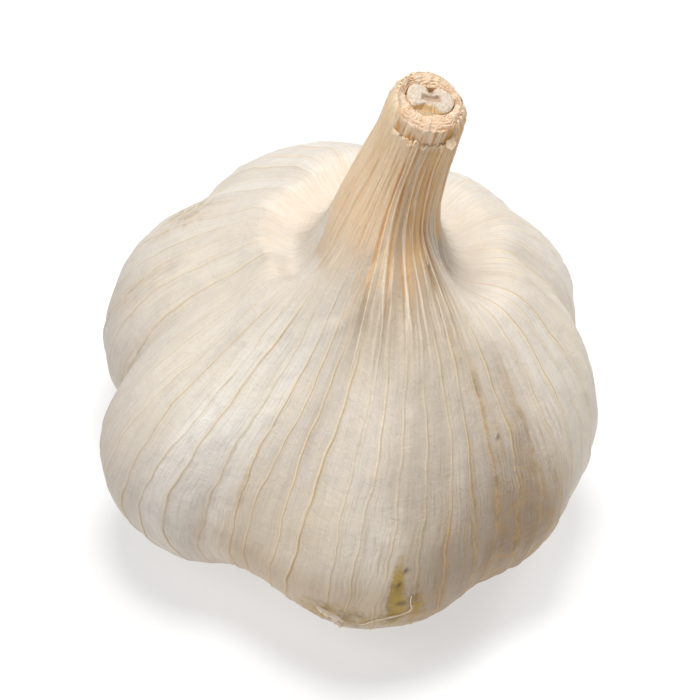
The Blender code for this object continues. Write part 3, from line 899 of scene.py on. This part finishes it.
def skin_finish():
    """Papery skin: pale panels, tan veins, fine fibres, a few stains, and painted light and shade: a tan
    shadow beside each vein, brown in the folds up the neck and patches low down.
    """
    sh = Shader("papery_skin", 0.5, subsurface=0.1)
    across, along = sh.uv("skin")
    u = sh.times(across, float(VEINS))
    v = sh.times(along, 100.0)
    streaks = sh.strands(u, v, 2.2, 0.11, 3.0, 0.55)
    fibres = sh.strands(u, v, 11.0, 0.16, 3.0, 0.65)
    blotches = sh.strands(u, v, 0.35, 0.06)
    mottle = sh.noise(sh.position(), 420.0, 3.0)
    # millimetres across from the nearest vein
    offset = sh.times(sh.maths("SUBTRACT", sh.maths("FRACT", u), 0.5), sh.attribute("spacing"))

    skin = veined_colour(sh, panel_colour(sh, streaks, fibres, blotches, mottle, u), u, v, offset)
    # bright fibrous skin inside the hollow; at the neck's front right and left feet the same colour is
    # painted light that warms their shade
    rays = sh.mix(sh.ramp(fibres, 0.4, 0.62), (0.785, 0.68, 0.575), (0.71, 0.585, 0.455))
    skin = sh.mix(sh.attribute("hollow", 0.85), skin, rays)
    skin = neck_colour(sh, skin, u, v, streaks, fibres)
    skin = stained_colour(sh, skin, fibres, mottle, offset)

    wrinkles = sh.strands(u, v, 3.0, 1.1, 4.0, 0.6)
    crumple = sh.noise(sh.position(), 330.0, 5.0, 0.62)
    slant = sh.vector(sh.maths("ADD", sh.times(u, 1.1), sh.times(v, 0.25)), sh.times(v, 0.5))
    crinkle = sh.ramp(sh.away(sh.noise(slant, 1.0, 3.0, 0.6), 0.5), 0.0, 0.05)
    relief = sh.relief(fibres, 0.00015, 0.75)
    relief = sh.relief(wrinkles, 0.0002, 0.55, relief)
    relief = sh.relief(crumple, 0.0003, 0.7, relief)
    relief = sh.relief(crinkle, 0.0001, 0.18, relief)
    roughness = sh.ramp(streaks, 0.3, 0.7, 0.42, 0.58)
    return sh.surfaced(("Base Color", skin), ("Normal", relief), ("Roughness", roughness))


def sheath_finish():
    """Dry fibrous sheaths: golden side walls, pale granular cut edges, and orange painted shade in the
    crevices, the gaps in the side and the pocket wall.
    """
    sh = Shader("dry_sheath", 0.75, subsurface=0.15)
    fibres = sh.strands(*sh.uv("sheath"), 70.0, 2.0, 3.0, 0.6)
    grain = sh.noise(sh.position(), 2600.0, 3.0, 0.6)
    skin = sh.layered(
        sh.mix(sh.ramp(fibres, 0.36, 0.5), (0.60, 0.33, 0.13), (0.77, 0.56, 0.375)),
        (sh.ramp(fibres, 0.5, 0.66), (0.86, 0.71, 0.54)),
        (sh.attribute("cut"),
         sh.mix(sh.ramp(grain, 0.36, 0.62), (0.69, 0.50, 0.335), (0.80, 0.63, 0.48))),
        # orange painted shade in the crevices, gaps and pocket wall
        (sh.attribute("depth", 0.9), (0.64, 0.33, 0.085)),
    )
    relief = sh.relief(fibres, 0.0001, 0.6, sh.relief(grain, 0.00016, 0.7))
    return sh.surfaced(("Base Color", skin), ("Normal", relief))


def core_finish():
    """White spongy inner leaf, with greyer painted shade in its fold and notch, and golden down its sides."""
    sh = Shader("inner_leaf", 0.7, subsurface=0.2)
    grain = sh.noise(sh.position(), 2200.0, 4.0, 0.6)
    cells = sh.noise(sh.position(), 900.0, 2.0)
    strands = sh.noise(sh.vector(sh.times(sh.uv("leaf")[0], 60.0), 0.0), 1.0, 2.0)
    skin = sh.layered(
        sh.mix(sh.ramp(grain, 0.35, 0.65), (0.59, 0.475, 0.375), (0.68, 0.59, 0.49)),
        (sh.ramp(cells, 0.5, 0.7, 0.0, 0.4), (0.64, 0.57, 0.51)),
        # painted shade in the fold and the notch
        (sh.attribute("depth", 0.8), (0.42, 0.28, 0.18)),
        (sh.attribute("side"),
         sh.mix(sh.ramp(strands, 0.4, 0.6), (0.64, 0.41, 0.17), (0.80, 0.65, 0.43))),
    )
    return sh.surfaced(("Base Color", skin), ("Normal", sh.relief(grain, 0.00014, 0.6)))


def flake_finish():
    """Thin straw-coloured skin, grainy, with darker patches."""
    sh = Shader("loose_skin", 0.5, subsurface=0.25)
    grain = sh.noise(sh.position(), 1400.0, 3.0, 0.6)
    patches = sh.noise(sh.position(), 420.0, 2.0)
    skin = sh.mix(sh.ramp(grain, 0.38, 0.62), (0.82, 0.62, 0.43), (0.92, 0.77, 0.61))
    skin = sh.mix(sh.ramp(patches, 0.52, 0.66, 0.0, 0.5), skin, (0.74, 0.50, 0.27))
    return sh.surfaced(("Base Color", skin), ("Normal", sh.relief(grain, 0.00008, 0.5)))


def root_finish():
    """Woody plate and dry roots: mottled tan and brown."""
    sh = Shader("root_wood", 0.85)
    fine = sh.noise(sh.position(), 1500.0, 4.0, 0.6)
    broad = sh.noise(sh.position(), 260.0, 3.0)
    skin = sh.mix(sh.ramp(broad, 0.35, 0.65), (0.42, 0.30, 0.17), (0.62, 0.49, 0.31))
    skin = sh.mix(sh.ramp(fine, 0.45, 0.7, 0.0, 0.6), skin, (0.26, 0.17, 0.09))
    return sh.surfaced(("Base Color", skin), ("Normal", sh.relief(fine, 0.0002, 0.8)))


# --- pieces


def skin_rows():
    """Span positions of the fine mesh's rings, evenly spaced along the profile."""
    dense = np.linspace(0, SKIN_SPANS, 1200)
    curve = catmull_rom(SKIN, dense)[:, :2]
    length = np.concatenate(([0.0], np.cumsum(np.hypot(*np.diff(curve, axis=0).T))))
    count = round(length[-1] / ROW_LENGTH)
    return np.interp(np.linspace(0, length[-1], count), length, dense)


def patches(rows, shape, direction, value):
    """How strong each patch is, its extent of the value being a slope or a window."""
    return np.array([
        size * around(direction, *place) * shape(value, *extent) for size, place, extent in rows
    ])


def stained(rows, direction, radius, height):
    """Ovals on the skin, each falling evenly from its strength to 0 at twice its half sizes."""
    found = np.zeros(direction.shape)
    for middle, level, half_width, half_height, strength in rows:
        across = np.radians(degrees_between(direction, middle)) * radius / half_width
        oval = 1.5 - 0.75 * np.hypot(across, (height - level) / half_height)
        found = np.maximum(found, strength * np.clip(oval, 0.0, 1.0))
    return found


def skin_values(s, direction, radius, height):
    """Per-point values that place the skin's colours."""
    neck = on_the_neck(direction, radius, height)
    upper = slope(height, *SHOULDER)
    # painted light and shade, with the panels' own tone
    tone_and_shade = 0.5 + 0.12 * around(direction, *BEHIND)
    # painted light left of the neck's foot
    tone_and_shade += patches([LEFT_FOOT_PAINTED_LIGHT], window, direction, radius)[0] * upper
    tone_and_shade += patches(TONE_AND_SHADE_SLOPES, slope, direction, height).sum(axis=0)
    tone_and_shade += patches(TONE_AND_SHADE_BANDS, window, direction, height).sum(axis=0)
    # painted shade, brownish
    painted_brown_shade = patches(RIGHT_PAINTED_BROWN_SHADE, slope, direction, height).sum(axis=0)
    painted_brown_shade = np.maximum(painted_brown_shade, patches(PAINTED_BROWN_SHADE, slope, direction, height).max(axis=0))
    # painted shade, grey
    painted_grey_shade = patches([LEFT_FOOT_PAINTED_SHADE], window, direction, radius)[0] * upper
    painted_grey_shade = np.maximum(painted_grey_shade, patches(PAINTED_GREY_SHADE, slope, direction, height).max(axis=0))
    # the hollow's fibrous skin, and painted light at the neck's feet
    hollow = patches(HOLLOW_BANDS, window, direction, radius).max(axis=0) * upper
    veined = 1.0 - 0.55 * around(direction, 120, 80, 40) * slope(height, 12.0, 10.0)
    veined *= 1.0 - 0.75 * slope(height, 38.0, 8.0)
    brown = stained(BROWN_STAINS, direction, radius, height)
    brown = np.maximum(brown, patches(BROWN_WASH, slope, direction, height).max(axis=0))

    speck = np.zeros(direction.shape)
    for middle, level, size in SPECKS:
        across = np.radians(degrees_between(direction, middle)) * radius
        speck = np.maximum(speck, window(np.hypot(across, height - level), 0.0, 0.45 * size, 0.75 * size))

    # Painted shade in the neck's folds, in the slit and along the long crease left of the neck's foot.
    fold, lips = np.clip(np.array(neck_folds(direction, height)) / (0.75 * FOLD_DEPTH[1]), 0.0, 1.0)
    slit = slit_depth(direction, radius) * upper
    crease = bump(fold_path(direction, radius), 0.3, 0.9) * window(radius, *LONG_FOLD) * upper
    return {
        "spacing": 2 * math.pi * np.maximum(radius, 1.0) / VEINS,
        # the neck's tan, with some painted into the long crease and the slit as shade
        "neck": np.maximum(neck, 0.35 * np.maximum(crease, slit)),
        # the neck's tan fanning out in front, partly painted shade below the neck that deepens toward it
        "fan": around(direction, 277, 25, 12) * slope(radius, 21.0, -10.5) * upper,
        "hollow": hollow * (1.0 - neck),
        # painted light and shade, with the panels' own tone
        "tone_and_shade": tone_and_shade,
        # darker fibres and dark grains low down
        "low_darkening": patches(LOW_DARKENING, slope, direction, height).max(axis=0),
        "veined": veined,
        "olive": stained(OLIVE_STAINS, direction, radius, height),
        "brown": brown * (1.0 - neck),
        "speck": speck,
        "fold": np.maximum(np.maximum(fold, slit), 0.7 * crease),
        "lip": lips,
        # warm painted shade down the neck's right side
        "right": 0.75 * around(direction, 328, 32, 30) * slope(height, 46.0, 4.0),
        # painted shade at the neck's front foot
        "foot": around(direction, 290, 18, 14) * slope(radius, 14.5, -5.0) * upper,
        "pale_foot": slope(radius, 5.8, 3.2),
        # painted shade, brownish
        "painted_brown_shade": painted_brown_shade,
        # painted shade, grey
        "painted_grey_shade": painted_grey_shade,
        "edge": window(s, SKIN_SPANS, 0.02, 0.12),
    }


def make_wrapper(material):
    """The outer skin, from the root plate up to the torn edge, closed inside the neck."""
    spans = skin_rows()
    curve = catmull_rom(SKIN, spans)
    inside = [(SKIN_TOP_RADIUS - 0.1, SKIN_TOP), (SKIN_RIM_RADIUS + 0.08, SKIN_TOP),
              (SKIN_RIM_RADIUS, SKIN_TOP - 0.06), (SKIN_RIM_RADIUS, SKIN_TOP - 0.2),
              (SKIN_RIM_RADIUS, SKIN_TOP - 1.5), (SKIN_RIM_RADIUS, TEAR_FOOT + 3.0),
              (SOCKET_RADIUS, TEAR_FOOT - 1.0), (SOCKET_RADIUS, SOCKET_FLOOR), (0.0, SOCKET_FLOOR)]
    recess = [(0.0, RECESS_ROOF), (RECESS_RADIUS, RECESS_ROOF)]
    profile = recess + [(r, z) for r, z, _ in curve] + inside
    mesh, points, row, column = turned("skin", profile, COLUMNS)
    x, y, z = points.T
    q = (column % PER_VEIN - PER_VEIN // 2) / PER_VEIN
    u = column // PER_VEIN + 0.5 + np.sign(q) * np.abs(2 * q) ** COLUMN_CROWDING / 2
    place = row - len(recess)
    outside = (place >= 0) & (place < len(spans))
    s = np.interp(place, np.arange(len(spans)), spans)
    skin, direction, height = skin_points(u, s)

    radius = np.hypot(x, y)
    near_rim = (radius > SOCKET_RADIUS / 2) & (z > SKIN_TOP - 0.5)
    radius -= RIM_TURN_IN * (1 - bare_side(direction)) * near_rim
    closed = set_on_neck(direction, radius, torn_height(direction, z))
    place_points(mesh, np.where(outside[:, None], skin, closed))

    radius = np.where(outside, catmull_rom(SKIN, s)[:, 0], radius)
    # inside the skin's rim: the neck's tan, with some painted fold shade
    within = {"spacing": 1.0, "neck": 1.0, "fold": 0.25, "edge": 0.5}
    for name, values in skin_values(s, direction, radius, height).items():
        add_values(mesh, name, np.where(outside, values, within.get(name, 0.0)))
    add_uv(mesh, "skin", u / VEINS, s / SKIN_SPANS)
    add_piece("skin", mesh, material, "papery_skin", "bulb_wrapper")


def core_radius(direction):
    """Outline of the folded leaf: an oval with a notch at the back."""
    turn = np.radians(direction)
    oval = 1 / np.hypot(np.cos(turn) / CORE_HALF_WIDTH, np.sin(turn) / CORE_HALF_DEPTH)
    for middle, swell, half in CORE_LOBES:
        oval = oval * (1 + swell * bump(degrees_between(direction, middle), 0, half))
    return oval * (1 - CORE_NOTCH * bump(degrees_between(direction, 90), 0, CORE_NOTCH_HALF_DEG))


def cut_face(direction):
    """Radius of the leaf's white cut face, which is cut back in front and bares the golden side."""
    back = 1 - 0.44 * around(direction, *CUT_BACK)
    return core_radius(direction) * back - 0.12


def bore_radius(direction, height):
    """Pocket round the folded leaf, a little open at the front left."""
    spare = 0.35 * bump(degrees_between(direction, 250), 0, 30) * slope(height, CUT_HEIGHT - 1.4, 1.2)
    notch = bump(degrees_between(direction, 90), 0, CORE_NOTCH_HALF_DEG)
    filled = 0.95 * CORE_NOTCH * CORE_HALF_DEPTH * notch
    return core_radius(direction) + filled + CORE_GAP + spare


def make_sheaths(material):
    """Cut ring of dry sheaths. Profile radii run 0 at the axis, 1 at the pocket and 2 outside."""
    foot = SOCKET_FLOOR + 0.3
    side = [(2.0, z) for z in np.linspace(foot, CUT_HEIGHT - 0.3, 34)]
    top = [(r, CUT_HEIGHT) for r in np.linspace(1.985, 1.0, 48)]
    pocket = [(1.0, z) for z in np.linspace(CUT_HEIGHT - 0.3, BORE_FLOOR, 14)]
    profile = [(0.0, foot)] + side + top + pocket + [(0.0, BORE_FLOOR)]
    mesh, points, row, _ = turned("cut_sheaths", profile, SHEATH_COLUMNS)
    x, y, z = points.T
    share = np.hypot(x, y)
    direction = np.degrees(np.arctan2(y, x))
    on_top = (row > len(side)) & (row <= len(side) + len(top))
    bare = bare_side(direction)

    ring = round_axis(direction, SHEATH_RADIUS, z * 0.04)
    smooth_top = (1 - bare) * slope(z, 66.0, 1.0)
    fluting = (0.10 * ripple(ring, 0.9, 21, 20) * (1 - smooth_top) - 0.12) * (z > SOCKET_FLOOR + 1)
    torn_edge = torn_height(direction, np.full(direction.shape, SKIN_TOP))
    bulge = 0.38 * bare * slope(z, torn_edge - 0.45, 0.4) + 0.30 * slope(z, 62.0, 3.0)
    turned_in = (RIM_TURN_IN - 0.26) * (1 - bare) * slope(z, 67.0, 0.8)
    outside = SHEATH_RADIUS - 0.05 + bulge - turned_in + fluting
    bore = bore_radius(direction, z)
    radius = np.where(share <= 1, bore * share, bore + (outside - bore) * (share - 1))

    layers = (share - 1) * SHEATH_LAYERS + ripples(ring[:, :2], LAYER_WAVES)
    crevice = bump(layers - np.floor(layers), 0.5, 0.17) * smooth_step(ripple(ring[:, :2], 1.9, 23) + 0.45)
    crevice = crevice * (0.3 + 0.7 * np.cos(np.radians(direction)) ** 2)
    rim = -0.40 * slope(share, 1.62, 0.38) ** 2
    dip = -0.35 * around(direction, 255, 22, 20) * slope(share, 1.35, -0.35)
    dome = 0.12 * np.sin(math.pi * np.clip(share - 1.0, 0, 1)) - 0.06
    cut = ripples(round_axis(direction, radius), SHEATH_GRAIN) + dome + rim + dip - 0.34 * crevice
    height = z + np.where(on_top, cut, 0.0)
    height += PEAK_HEIGHT * around(direction, *PEAK) * np.clip(share - 1, 0, 1) * (z > CUT_HEIGHT - 0.8)
    place_points(mesh, set_on_neck(direction, radius, height))

    # Painted shade: the crevices of the cut, the pocket wall below it, and the gaps in the side, which have
    # no relief of their own.
    inner_wall = (row > len(side) + len(top)) * slope(z, CUT_HEIGHT - 0.1, -1.5)
    gaps = [bump(degrees_between(direction, middle), 0, half) * window(z, level, 1.0, 0.8)
            for middle, half, level in SHEATH_GAPS]
    add_values(mesh, "depth", np.where(on_top, crevice, np.maximum(0.5 * inner_wall, np.max(gaps, axis=0))))
    add_values(mesh, "cut", on_top.astype(float))
    add_uv(mesh, "sheath", (direction / 360.0) % 1.0, z / 10.0)
    add_piece("cut_sheaths", mesh, material, "dry_sheath", "neck_sheaths")


def make_core(material):
    """Folded white leaf: a plump heart outline with a sunken fold in the middle."""
    side = [(1.0, z) for z in np.linspace(CORE_FOOT, CUT_HEIGHT - 0.25, 16)]
    top = [(r, CUT_HEIGHT) for r in np.linspace(0.985, 0.03, 44)]
    profile = [(0.0, CORE_FOOT)] + side + top + [(0.0, CUT_HEIGHT)]
    mesh, points, row, _ = turned("folded_leaf", profile, CORE_COLUMNS)
    x, y, z = points.T
    direction = np.degrees(np.arctan2(y, x))
    radius = np.hypot(x, y) * core_radius(direction)
    flat = round_axis(direction, radius)
    px, py = flat.T
    on_top = row > len(side)
    fold = window(px, 0.05, 0.85, 0.4) * window(py, -0.06 + 0.1 * px ** 2, 0.22, 0.34)
    notch = bump(px, 0.0, 0.34) * slope(py, 0.35, 0.5)
    past_face = radius - cut_face(direction)
    round_off = -0.16 * slope(past_face, -0.3, 0.35) - 0.95 * slope(past_face, -0.02, 0.75)
    cut = 0.3 + round_off - 0.42 * fold - 0.6 * notch + ripples(flat, CORE_GRAIN)
    place_points(mesh, set_on_neck(direction, radius, z + np.where(on_top, cut, 0.0)))
    # painted shade in the sunken fold and the notch
    add_values(mesh, "depth", np.where(on_top, np.maximum(fold, notch), 0.0))
    add_values(mesh, "side", np.where(on_top, slope(past_face, -0.02, 0.16), 1.0))
    add_uv(mesh, "leaf", (direction / 360.0) % 1.0, z / 10.0)
    add_piece("folded_leaf", mesh, material, "inner_leaf", "neck_core")


def make_roots(material):
    """Woody plate with its scar, and the trimmed roots in rings round it."""
    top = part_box("root_plate")[1].z / MM
    profile = [*PLATE, (8.35, top - 0.3), (8.1, top), (0.0, top)]
    mesh, points, *_ = turned("roots", profile, PLATE_COLUMNS)
    x, y, z = points.T
    wobble = 0.06 * ripple(points, 2.0, 51) * (z > 0.02) * (z < top - 0.01)
    place_points(mesh, points * (1 + wobble / np.maximum(np.hypot(x, y), 1.0))[:, None])
    body = bmesh.new()
    body.from_mesh(mesh)
    draw = np.random.default_rng(52)
    for ring, count in ROOT_RINGS:
        for i in range(count):
            turn = (i + draw.uniform(-0.35, 0.35)) * 2 * math.pi / count
            reach = ring + draw.uniform(-0.25, 0.25)
            way = Vector((math.cos(turn), math.sin(turn), 0.0))
            tip = way * (reach + draw.uniform(0.1, 0.55)) + Vector((0, 0, draw.uniform(0.05, 0.6)))
            base = way * reach + Vector((0, 0, ROOT_BASE))
            made = bmesh.ops.create_cone(
                body, cap_ends=True, segments=7, radius1=draw.uniform(0.17, 0.26), radius2=0.3, depth=1.0,
            )
            for vert in made["verts"]:
                centre = tip.lerp(base, vert.co.z + 0.5)
                vert.co = (centre + Vector((vert.co.x, vert.co.y, 0.0))) * MM
    body.to_mesh(mesh)
    body.free()
    add_piece("roots", mesh, material, "root_wood", "root_plate")


def make_flakes(material):
    """Small curled flakes round the torn edge on the neck."""
    body = bmesh.new()
    draw = np.random.default_rng(71)
    for direction, height, half_width, length, stand in FLAKES:
        made = bmesh.ops.create_uvsphere(body, u_segments=28, v_segments=14, radius=1.0)
        waves = draw.uniform(0, 2 * math.pi, 4)
        for vert in made["verts"]:
            a, b = vert.co.x, (vert.co.y + 1) / 2
            half = half_width * (1 + 0.14 * math.sin(7 * b + waves[0]) + 0.06 * math.sin(15 * b + waves[3]))
            radius = FLAKE_FOOT_RADIUS + stand * max(b, 0.0) ** 1.6 + 0.09 * math.sin(4 * a + waves[1]) * b
            radius += FLAKE_THICKNESS * vert.co.z
            z = height + length * b + 0.08 * math.sin(5 * a + waves[2])
            vert.co = Vector(set_on_neck(direction + math.degrees(a * half / radius), radius, z))
    bmesh.ops.scale(body, vec=(MM, MM, MM), verts=body.verts)
    add_piece("flakes", mesh_of(body, "flakes"), material, "papery_skin")


def make_strips(material):
    """A loose fibre and two torn scraps that lie on the foot of the front lobe."""
    body = bmesh.new()
    share = np.linspace(0, 1, STRIP_STEPS + 1)
    for half_width, lift, path in STRIPS:
        made = bmesh.ops.create_grid(body, x_segments=STRIP_STEPS, y_segments=4, size=1.0)
        directions, spans = catmull_rom(path, np.linspace(0, len(path) - 1, STRIP_STEPS + 1)).T
        middle = skin_points((directions - VEIN_TURN) * VEINS / 360.0, spans, lift)[0]
        outward = middle / np.linalg.norm(middle, axis=1)[:, None]
        side = np.cross(np.gradient(middle, axis=0), outward)
        side /= np.linalg.norm(side, axis=1)[:, None]
        width = half_width * np.sqrt(np.clip(4 * share * (1 - share), 0.02, 1))
        width = width * (1 + 0.18 * np.sin(17 * share) + 0.1 * np.sin(41 * share))
        for vert in made["verts"]:
            i = round((vert.co.x + 1) / 2 * STRIP_STEPS)
            rise = 0.12 * lift * math.sin(9 * share[i]) - 0.3 * lift * vert.co.y ** 2
            vert.co = Vector(middle[i] + side[i] * width[i] * vert.co.y + outward[i] * rise)
    bmesh.ops.solidify(body, geom=body.faces, thickness=FLAKE_THICKNESS)
    bmesh.ops.scale(body, vec=(MM, MM, MM), verts=body.verts)
    add_piece("strips", mesh_of(body, "strips"), material, "papery_skin")


# --- stage


def make_floor():
    body = bmesh.new()
    bmesh.ops.create_grid(body, x_segments=1, y_segments=1, size=FLOOR_HALF_SIZE)
    mesh = mesh_of(body, "floor")
    floor = added("floor", mesh)
    sh = Shader("floor", 0.9)
    mesh.materials.append(sh.surfaced(
        ("Base Color", FLOOR_GREY), ("Emission Color", WHITE), ("Emission Strength", FLOOR_GLOW),
    ))


def add_light(name, place, size, watts):
    """Soft square light aimed at the bulb."""
    light = bpy.data.lights.new(name, "AREA")
    light.energy = watts
    light.size = size
    lamp = added(name, light)
    lamp.location = place
    lamp.rotation_euler = (AIM - lamp.location).to_track_quat("-Z", "Y").to_euler()


def make_studio():
    scene = bpy.context.scene
    scene.view_settings.view_transform = "Standard"
    world = bpy.data.worlds.new("studio")
    world.use_nodes = True
    backdrop = world.node_tree.nodes["Background"]
    backdrop.inputs["Color"].default_value = (*WHITE, 1.0)
    backdrop.inputs["Strength"].default_value = WORLD_STRENGTH
    scene.world = world
    for light in LIGHTS:
        add_light(*light)


def make_camera():
    """Looks down on the front of the bulb."""
    elevation = math.radians(CAMERA_ELEVATION)
    lens = bpy.data.cameras.new("camera")
    lens.sensor_width = 36.0
    lens.lens = CAMERA_LENS
    camera = added("camera", lens)
    camera.location = AIM + CAMERA_DISTANCE * Vector((0.0, -math.cos(elevation), math.sin(elevation)))
    camera.rotation_euler = (AIM - camera.location).to_track_quat("-Z", "Y").to_euler()
    bpy.context.scene.camera = camera


make_camera()
make_studio()
make_floor()
make_wrapper(skin_finish())
LOOSE_SKIN = flake_finish()
make_flakes(LOOSE_SKIN)
make_strips(LOOSE_SKIN)
make_sheaths(sheath_finish())
make_core(core_finish())
make_roots(root_finish())
